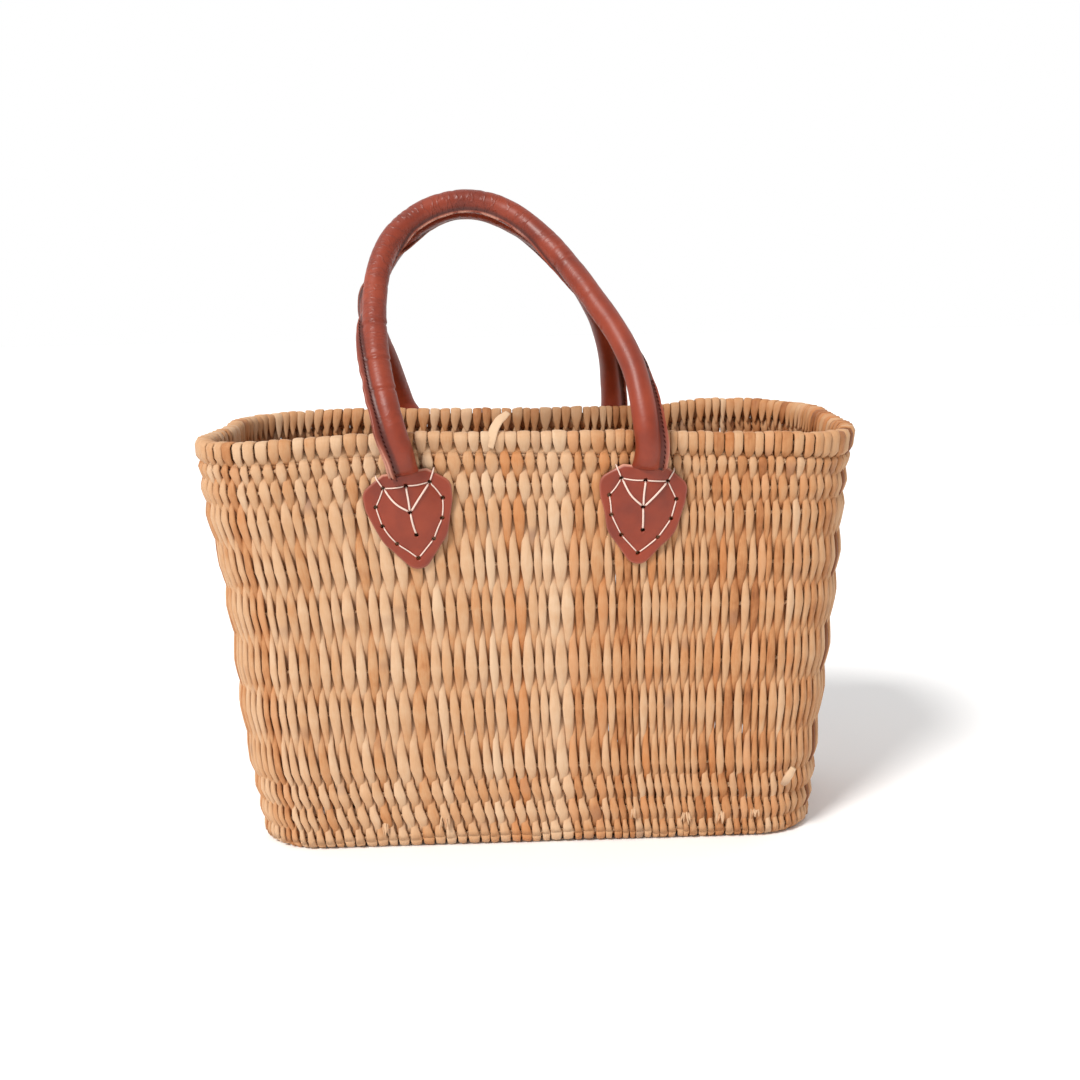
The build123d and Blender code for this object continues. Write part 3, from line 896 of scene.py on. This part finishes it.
def add_patch(name):
    fr = patch_frame(name)
    seed = list(PATCH_TURN).index(name) + 1
    local = random.Random(seed)
    wob = [local.uniform(-0.35, 0.35) for _ in range(6)]
    outline = OUTLINE.copy()
    for i, (u, v) in enumerate(outline):
        a = math.atan2(v + 25, u)
        push = sum(w * math.sin((k + 1) * a + k * 1.7 + seed) for k, w in enumerate(wob))
        outline[i] += unit(np.array([u, v + 25])) * push * 0.8
        outline[i][1] += 1.3 * math.exp(-((u / 9) ** 2)) * (v > -2)
    heart = np.array([0.0, -25.0])
    shares = [0.0, 0.06] + list(np.linspace(0.12, 0.93, 26)) + [0.955, 0.975, 0.99, 1.0]
    verts, faces, raw = [], [], []
    m = len(outline)

    def layer(sign):
        start = len(verts)
        for s in shares[1:]:
            for u, v in heart + (outline - heart) * s:
                h = patch_height(u, v)
                edge = max(0.0, (s - 0.955) / 0.045)
                top_edge = max(0.0, min(1.0, (v + 3.2) / 1.6))
                bevel = (0.5 + 0.7 * top_edge) * edge**1.5
                lift = h + PATCH_THICK - bevel if sign > 0 else h + 0.15 * edge
                verts.append(in_patch(fr, u, v, lift))
                raw.append(edge * (0.22 + 0.78 * top_edge) if sign > 0 else 0.2 + 0.6 * top_edge)
        centre = len(verts)
        h = patch_height(*heart)
        verts.append(in_patch(fr, *heart, h + (PATCH_THICK if sign > 0 else 0)))
        raw.append(0.0)
        rows = len(shares) - 1
        for r in range(rows - 1):
            for i in range(m):
                n = (i + 1) % m
                a, b = start + r * m, start + (r + 1) * m
                quad = (a + i, b + i, b + n, a + n)
                faces.append(quad if sign > 0 else quad[::-1])
        for i in range(m):
            n = (i + 1) % m
            tri = (centre, start + i, start + n)
            faces.append(tri if sign > 0 else tri[::-1])
        return start + (rows - 1) * m

    top_rim, low_rim = layer(1), layer(-1)
    for i in range(m):
        n = (i + 1) % m
        faces.append((top_rim + i, low_rim + i, low_rim + n, top_rim + n))
    none = [0.0] * len(verts)
    attributes = {"raw": raw, "groove_shade": none, "along": none, "ring_x": none, "ring_y": none, "crease": none}
    patch = make_object(f"leather_patch_{name}", verts, faces, [LEATHER], attributes=attributes)
    # punched holes
    cutter = Lofts()
    for u, v in HOLES.values():
        h = patch_height(u, v)
        punch = [in_patch(fr, u, v, at) for at in (h - 1.5, h + 0.5, h + PATCH_THICK + 1.5)]
        cutter.add(round_tube(punch, HOLE_R, 14), {})
    tool = cutter.build("hole_tool", [])
    cut = patch.modifiers.new("holes", "BOOLEAN")
    cut.operation, cut.object, cut.solver = "DIFFERENCE", tool, "EXACT"
    bpy.context.view_layer.update()
    evaluated = patch.evaluated_get(bpy.context.evaluated_depsgraph_get())
    mesh = bpy.data.meshes.new_from_object(evaluated)
    patch.modifiers.clear()
    patch.data = mesh
    bpy.data.objects.remove(tool)
    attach(patch, "basket")
    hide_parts(f"patch_{name}")

    threads = Lofts()

    def surface(u, v):
        return patch_height(u, v) + PATCH_THICK

    for first, second in STITCHES:
        a, b = np.array(HOLES[first]), np.array(HOLES[second])
        d = unit(b - a)
        a, b = a + d * 1.0, b - d * 1.0
        thin = THREAD_R if "middle" not in (first, second) else DOUBLE_THREAD_R
        side = np.array([-d[1], d[0]])
        sag = 1.3 if (first, second) == ("top_left", "middle") else local.uniform(-0.3, 0.3)
        path = []
        for s in np.linspace(0, 1, 15):
            u, v = a + (b - a) * s - side * sag * math.sin(math.pi * s) ** 1.2
            dip = DIP * max(0.0, 1 - min(s, 1 - s) * np.linalg.norm(b - a) / DIP_LENGTH) ** 2
            path.append(in_patch(fr, u, v, surface(u, v) + thin * 0.7 + 0.15 * math.sin(math.pi * s) - dip))
        threads.add(round_tube(path, thin, 7), {})
    for hole, way in (("top_left", (-0.45, 0.9)), ("top_right", (0.45, 0.9))):
        a = np.array(HOLES[hole])
        d = unit(np.array(way))
        path = []
        for s in np.linspace(0, 1, 12):
            u, v = a + d * (1.0 + 6.6 * s)
            over = surface(u, v) + 0.4
            if s >= 0.75:
                over -= 3.4 * ((s - 0.75) / 0.25) ** 1.5
            dip = DIP * max(0.0, 1 - s * 7.2 / DIP_LENGTH) ** 2
            path.append(in_patch(fr, u, v, over - dip))
        threads.add(round_tube(path, LOOSE_THREAD_R, 7), {})
    obj = threads.build(f"thread_{name}", [WHITE_THREAD])
    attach(obj, "basket")
    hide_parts(f"patch_thread_{name}")
    return fr


patch_frames = {name: add_patch(name) for name in PATCH_TURN}


# ------------ handles
# control points of each handle's smooth centre line, from its left foot over the top to its right foot
ROUTES = {
    "front": (
        (-71, -96, 228), (-74, -100, 247), (-82, -89, 272), (-87.5, -51, 318),
        (-78.5, -18, 358.5), (-28, -6, 379.5), (14, -21, 350.5), (40, -57, 310.5),
        (60, -82, 281), (62, -102, 245), (64, -96, 228),
    ),
    "back": (
        (-74, 96, 228), (-78, 104, 242), (-88, 80, 283), (-102, 58, 310),
        (-74, 18, 356.5), (-32, 5, 376), (14, 22, 350.5), (44, 56, 314),
        (58, 82, 281), (60, 102, 245), (60, 96, 228),
    ),
}
# a foot lies under its patch and comes out over the top edge: height over that edge, distance off the wall
FOOT = ((-24, 2.3), (-18, 2.5), (-12, 2.8), (-6, 3.4), (-1.5, 4.4), (3.0, 7.4), (7.5, 9.3), (12.5, 10.2))
TUBE_R = 6.8
SEAM_HALF = 1.0
SPLINE_POINTS, TUBE_STEP = 400, 0.6
WALL_SLOPE = 0.0735  # how far the wall leans out for each unit of height


def bspline(points, count):
    """A smooth cubic B-spline with clamped ends."""
    points = np.asarray(points, float)
    n, k = len(points), 3
    knots = np.concatenate([[0] * k, np.linspace(0, 1, n - k + 1), [1] * k])
    out = []
    for u in np.linspace(0, 1, count):
        u = min(u, 1 - 1e-9)
        i = int(np.searchsorted(knots, u, side="right")) - 1
        d = list(points[i - k : i + 1])
        for r in range(1, k + 1):
            for j in range(k, r - 1, -1):
                low = knots[j + i - k]
                share = (u - low) / (knots[j + 1 + i - r] - low)
                d[j] = (1 - share) * d[j - 1] + share * d[j]
        out.append(d[k])
    return np.array(out)


# how wrinkled the leather is, by share of the handle's length, and three big folds on the front left leg
CREASED = (
    (0.0, 0.2), (0.16, 0.3), (0.24, 0.7), (0.34, 1.0), (0.54, 1.0),
    (0.62, 0.35), (0.78, 0.12), (0.93, 0.12), (1.0, 0.3),
)
BIG_FOLDS = ((0.155, 0.55), (0.195, 0.65), (0.245, 0.6))  # share of the length, depth
CREASES, DEEPEST_CREASE = 220, 0.3
# the seam turns from the legs' outer side, behind the tube, to the under side of the arch (degrees)
SEAM_TURN = {
    "front": (
        (0.0, -12), (0.20, -10), (0.26, 25), (0.33, 120), (0.40, 183),
        (0.60, 190), (0.68, 130), (0.76, 50), (0.86, 26), (1.0, 22),
    ),
    "back": ((0.0, -5), (0.29, 5), (0.36, 90), (0.42, 175), (0.60, 185), (0.70, 120), (0.78, 40), (1.0, 20)),
}
# how far the seam stands out from the tube
SEAM_REACH = {
    "front": (
        (0.0, 4.7), (0.20, 4.4), (0.28, 2.6), (0.38, 1.5),
        (0.62, 1.4), (0.72, 2.0), (0.84, 3.2), (1.0, 3.8),
    ),
    "back": ((0.0, 4.2), (0.10, 2.2), (0.16, 1.2), (0.62, 1.2), (0.72, 2.0), (0.84, 3.0), (1.0, 3.6)),
}


def add_handle(which):
    side = -1.0 if which == "front" else 1.0
    hinge = hinge_of(which)
    foot = []
    for end in ("left", "right"):
        origin, right, up, out = patch_frames[f"{which}_{end}"]
        foot.append(np.array([origin + up * v + out * h for v, h in FOOT]))
    spline = bspline(ROUTES[which], SPLINE_POINTS)
    index = np.arange(SPLINE_POINTS)
    spline = spline[(spline[:, 2] > hinge[2] + 15) | (index > 60) & (index < 340)]
    path = np.vstack([foot[0], spline, foot[1][::-1]])
    path = smoothed(resample(path, TUBE_STEP), 40)
    path = resample(path, TUBE_STEP)
    n = len(path)
    t = unit(smoothed(tangents(path), 60))
    s = np.linspace(0, 1, n)
    length = np.concatenate([[0], np.cumsum(np.linalg.norm(np.diff(path, axis=0), axis=1))])
    from_foot = np.minimum(length, length[-1] - length)
    # outward from the loop's middle, and towards the back, both square to the tube
    outward = path - np.array([-15.0, side * 55.0, 300.0])
    outward -= t * np.sum(outward * t, 1)[:, None]
    outward = unit(smoothed(unit(outward), 60))
    back = np.broadcast_to(np.array([0.0, -side, 0.0]), (n, 3))
    back = unit(back - t * np.sum(back * t, 1)[:, None] - outward * np.sum(back * outward, 1)[:, None])
    alpha = np.radians(smoothed(np.interp(s, *zip(*SEAM_TURN[which])), 120))
    local = np.random.default_rng(21 if side < 0 else 22)
    uneven = smoothed(local.normal(0, 1, n), 30)
    reach = smoothed(np.interp(s, *zip(*SEAM_REACH[which])), 60) * (1 + 0.25 * uneven)
    reach = reach * np.interp(from_foot, (20, 26), (0, 1))
    crease = smoothed(np.interp(s, *zip(*CREASED)), 40) * np.interp(from_foot, (22, 34), (0.3, 1))
    deep = np.interp(from_foot, (0, 18, 23, 26, 29, 33, 60), (1.3, 2.0, 3.0, 4.6, 6.4, 7.1, TUBE_R))
    wide = np.interp(from_foot, (0, 18, 23, 29, 45, 70), (7.5, 8.0, 8.0, 7.5, 7.2, TUBE_R))
    opened = np.interp(from_foot, (24, 27, 38, 48), (0.3, 1.0, 0.8, 0.0))
    # ring: angles round the tube, and how far each point rides out along the seam
    tube_a = np.radians(np.linspace(15, 345, 27))
    sides = len(tube_a) + 9
    crease_rows = np.zeros((n, len(tube_a)))
    chance = crease / crease.sum()
    for k in local.choice(n, CREASES, p=chance):
        where, round_it = local.uniform(0, 2 * math.pi), local.uniform(0.4, 1.3)
        long = local.uniform(0.8, 1.8)
        depth = min(DEEPEST_CREASE, abs(local.normal(0, 0.14)))
        slant = local.normal(0, 0.9)
        da = (tube_a - where + math.pi) % (2 * math.pi) - math.pi
        near = np.abs(length - length[k]) < 9
        ds = length[near, None] - length[k] - slant * da[None, :]
        crease_rows[near] -= depth * np.exp(-((ds / long) ** 2)) * np.exp(-((da / round_it) ** 2))[None, :]
    if side < 0:
        for at, depth in BIG_FOLDS:
            ds = length[:, None] - at * length[-1] - 1.5 * np.sin(tube_a)[None, :]
            crease_rows -= depth * np.exp(-((ds / 0.9) ** 2))
            crease_rows += 0.4 * depth * np.exp(-(((ds - 2.2) / 1.4) ** 2))
    slow_wave = np.sin(length / 9 + 1.3)[:, None]
    crease_rows += 0.16 * slow_wave * np.cos(tube_a[None, :] * 2 + length[:, None] / 23)
    rings, raw, groove_shade = np.zeros((n, sides, 3)), np.zeros((n, sides)), np.zeros((n, sides))
    wall_out = np.array([0.0, side, -WALL_SLOPE])

    def seam_axes(i):
        """Directions towards the seam and beside it, square to the tube."""
        cos, sin = math.cos(alpha[i]), math.sin(alpha[i])
        return outward[i] * cos + back[i] * sin, back[i] * cos - outward[i] * sin

    for i in range(n):
        to_seam, beside = seam_axes(i)
        half = SEAM_HALF * float(np.interp(reach[i], (1.7, 3.0), (0.5, 1.0))) + 0.7 * opened[i]
        tip = TUBE_R + reach[i]
        notch = min(reach[i] * 0.8, 0.35 + 3.2 * opened[i])
        fin = [(TUBE_R + 0.35 * reach[i], -1.15), (tip - 0.5, -half), (tip, -0.8 * half)]
        fin += [(tip, -0.3 * half), (tip - notch, 0.0)]
        fin += [(x, -y) for x, y in reversed(fin[:4])]
        r = TUBE_R + crease_rows[i]
        xy = np.vstack([fin[4:], np.stack([r * np.cos(tube_a), r * np.sin(tube_a)], 1), fin[:4]])
        off = xy[:, :1] * to_seam + xy[:, 1:] * beside
        if from_foot[i] < 70:
            w = unit(wall_out - t[i] * (wall_out @ t[i]))
            depth = off @ w
            off = (off - depth[:, None] * w) * (wide[i] / TUBE_R) + depth[:, None] * w * (deep[i] / TUBE_R)
        rings[i] = path[i] + off
        on_arch = float(np.interp(s[i], (0.36, 0.4, 0.54, 0.6), (0, 1, 1, 0)))
        frayed = 0.25 + 0.6 * max(-0.4, min(1.0, uneven[i] * 4))
        pale = (0.12 if side < 0 else 0.3) + 0.6 * opened[i] + frayed * on_arch
        pale = max(0.0, min(1.0, pale))
        raw[i, 1:3], raw[i, -2:] = pale, pale
        raw[i, 3], raw[i, -3] = pale * 0.3, pale * 0.3
        # painted shade in the seam's groove: the open notch, the foot of the fin and the tube beside it
        groove_shade[i, 0] = 0.9
        groove_shade[i, 4], groove_shade[i, -4] = 0.75, 0.75
        groove_shade[i, 5], groove_shade[i, -5] = 0.6, 0.6
        # painted shadow under the tube where it overhangs the patch's top edge
        groove_shade[i] += 0.5 * max(0.0, 1 - abs(from_foot[i] - 24.5) / 1.6)
    ring_a = np.concatenate([[0, 0, 0, 0, 0.1], tube_a, [6.18, 0, 0, 0]])
    ring_attrs = {
        "raw": raw,
        "groove_shade": np.clip(groove_shade, 0, 1),
        "crease": np.broadcast_to(crease[:, None], (n, sides)),
        "along": np.broadcast_to(length[:, None] + (0 if side < 0 else 700), (n, sides)),
        "ring_x": np.broadcast_to(np.cos(ring_a)[None, :] * 0.7, (n, sides)),
        "ring_y": np.broadcast_to(np.sin(ring_a)[None, :] * 0.7, (n, sides)),
    }
    lofts = Lofts()
    lofts.add(rings, ring_attrs)
    cover = lofts.build(f"{which}_handle_leather", [LEATHER])
    x = path[n // 2][0]
    low = (x * MM, hinge[1] * MM, (hinge[2] - 5) * MM)
    high = (x * MM, hinge[1] * MM, (hinge[2] + 24) * MM)
    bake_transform(cover, "basket", f"{which}_handle", low, high)
    tongues = [f"handle_tongue_{which}_{e}" for e in ("left", "right")]
    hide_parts(f"{which}_handle_cover", f"{which}_handle_core", *tongues)

    stitches = Lofts()
    for i in range(44, n - 44, 4):
        if reach[i] < 2.9:
            continue
        to_seam, beside = seam_axes(i)
        for face in (-1, 1):
            grow = wide[i] / TUBE_R
            centre = path[i] + (to_seam * (TUBE_R + 1.6) + beside * face * 1.35) * grow
            run = []
            for a, b in ((-0.8, 0), (-0.4, 0.12), (0.4, 0.12), (0.8, 0)):
                run.append(centre + t[i] * a + beside * face * b + to_seam * a * 0.35)
            stitches.add(round_tube(run, 0.27, 6), {})
    obj = stitches.build(f"{which}_handle_stitches", [DARK_THREAD])
    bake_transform(obj, "basket", f"{which}_handle", low, high)
    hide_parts(f"{which}_handle_seam_left", f"{which}_handle_seam_right")


for which in ROUTES:
    add_handle(which)


# ------------ floor, light and camera
floor_mat = plain_material("floor_white", (246, 246, 246), 0.9, 0.0)
FLOOR_HALF = 6000
floor_corners = [(x * FLOOR_HALF, y * FLOOR_HALF, 0) for x, y in ((-1, -1), (1, -1), (1, 1), (-1, 1))]
floor = make_object("floor", floor_corners, [(0, 1, 2, 3)], [floor_mat], smooth=False)

world = bpy.data.worlds.new("studio")
bpy.context.scene.world = world
world.use_nodes = True
world_nodes, world_links = world.node_tree.nodes, world.node_tree.links
direction = world_nodes.new("ShaderNodeSeparateXYZ")
world_links.new(world_nodes.new("ShaderNodeTexCoord").outputs["Generated"], direction.inputs[0])
fade = world_nodes.new("ShaderNodeMapRange")
for socket, value in zip(fade.inputs[1:5], (-0.3, 0.6, 0.6, 1.0)):
    socket.default_value = value
world_links.new(direction.outputs["Y"], fade.inputs[0])
world_links.new(fade.outputs[0], world_nodes["Background"].inputs["Strength"])
world_nodes["Background"].inputs["Color"].default_value = (1.0, 1.0, 1.0, 1.0)

KEY_STRENGTH, KEY_SPREAD, KEY_COLOUR = 3.0, 16, (1.0, 0.985, 0.96)
KEY_DIRECTION = (0.50, 0.66, -0.78)
sun = bpy.data.lights.new("key", "SUN")
sun.energy, sun.angle, sun.color = KEY_STRENGTH, math.radians(KEY_SPREAD), KEY_COLOUR
key = bpy.data.objects.new("key", sun)
key.rotation_euler = Vector(KEY_DIRECTION).to_track_quat("-Z", "Y").to_euler()
bpy.context.scene.collection.objects.link(key)

scene = bpy.context.scene
scene.view_settings.view_transform = "Standard"
SENSOR, LENS = 36.0, 51.33
CAMERA_AT = (-0.026, -0.926, 0.3362)
YAW, DOWN, ROLL_ANGLE = 2.02, 10.27, -1.08
camera = bpy.data.objects.new("camera", bpy.data.cameras.new("camera"))
scene.collection.objects.link(camera)
camera.data.sensor_width, camera.data.lens = SENSOR, LENS
yaw, pitch, roll_angle = [math.radians(a) for a in (YAW, DOWN, ROLL_ANGLE)]
forward = Vector((math.sin(yaw) * math.cos(pitch), math.cos(yaw) * math.cos(pitch), -math.sin(pitch)))
level = Vector((math.cos(yaw), -math.sin(yaw), 0))
upright = level.cross(forward)
rightward = level * math.cos(roll_angle) + upright * math.sin(roll_angle)
upward = -level * math.sin(roll_angle) + upright * math.cos(roll_angle)
axes = [(rightward[k], upward[k], -forward[k], CAMERA_AT[k]) for k in range(3)]
camera.matrix_world = Matrix((*axes, (0, 0, 0, 1)))
camera.data.clip_end = 50
scene.camera = camera
